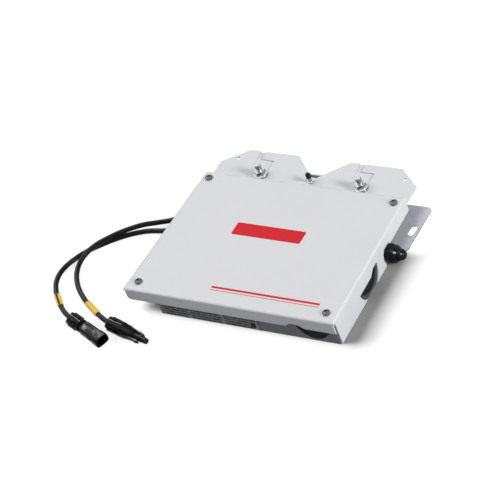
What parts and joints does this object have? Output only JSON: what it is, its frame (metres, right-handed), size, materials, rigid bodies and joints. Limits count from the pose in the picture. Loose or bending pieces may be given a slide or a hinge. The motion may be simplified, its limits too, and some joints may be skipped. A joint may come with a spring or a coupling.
{
  "type": "rapid shutdown box",
  "caption": "Flat wall-mounted solar rapid shutdown box with a folded white cover, hanger plate with studs, side gland and two leads with plug-in connectors.",
  "frame": {"origin": "on the wall plane, at the centre between the four cover screws", "axes": "+X to the right of the box as it hangs, +Y up the wall towards the hanger plate, +Z out of the wall"},
  "size_m": [0.444, 0.3295, 0.0467],
  "materials": {
    "white_enamel": "satin powder coat",
    "galvanised": "dull galvanised",
    "dark_steel": "blackened",
    "zinc_plate": "bright zinc",
    "yellow_zinc": "yellow zinc",
    "black_rubber": "matt",
    "gloss_polyamide": "moulded, glossy",
    "black_polyamide": "fine grain",
    "cable_sheath": "semi-matt",
    "yellow_sleeve": "semi-gloss",
    "board_laminate": "solder mask",
    "brass": "turned",
    "relay_case": "moulded",
    "terminal_green": "moulded",
    "capacitor_sleeve": "shrunk sleeve",
    "module_resin": "potted",
    "tin_plate": "tinned copper"
  },
  "bodies": {
    "root": {"cover": "white_enamel", "hanger_plate": "white_enamel", "rail_bracket": "white_enamel", "base_tray": "galvanised", "rim_frame": "galvanised", "cover_screws": "dark_steel", "cover_washers": "zinc_plate", "cover_spacers": "zinc_plate", "hanger_rivets": "zinc_plate", "hanging_studs": "zinc_plate", "stud_washers": "zinc_plate", "stud_nuts": "zinc_plate", "earth_stud": "zinc_plate", "board_screws": "zinc_plate", "rivet_nuts": "yellow_zinc", "cover_gasket": "black_rubber", "front_grommet": "black_rubber", "side_grommet": "black_rubber", "earth_cap": "black_rubber", "gland_seal_ring": "black_rubber", "gland_cone": "black_rubber", "cable_gland_seals": "black_rubber", "socket_seal": "black_rubber", "plug_seal": "black_rubber", "gland_body": "gloss_polyamide", "gland_nut": "gloss_polyamide", "gland_plug": "gloss_polyamide", "gland_locknut": "gloss_polyamide", "cable_gland_bodies": "black_polyamide", "cable_gland_nuts": "black_polyamide", "cable_gland_locknuts": "black_polyamide", "socket_body": "black_polyamide", "socket_nut": "black_polyamide", "plug_body": "black_polyamide", "plug_nut": "black_polyamide", "outer_cable": "cable_sheath", "inner_cable": "cable_sheath", "inner_leads": "cable_sheath", "outer_marker": "yellow_sleeve", "inner_marker": "yellow_sleeve", "circuit_board": "board_laminate", "board_standoffs": "brass", "relays": "relay_case", "input_terminals": "terminal_green", "output_terminals": "terminal_green", "capacitors": "capacitor_sleeve", "supply_module": "module_resin", "socket_contact": "tin_plate", "plug_contact": "tin_plate"}
  },
  "joints": []
}
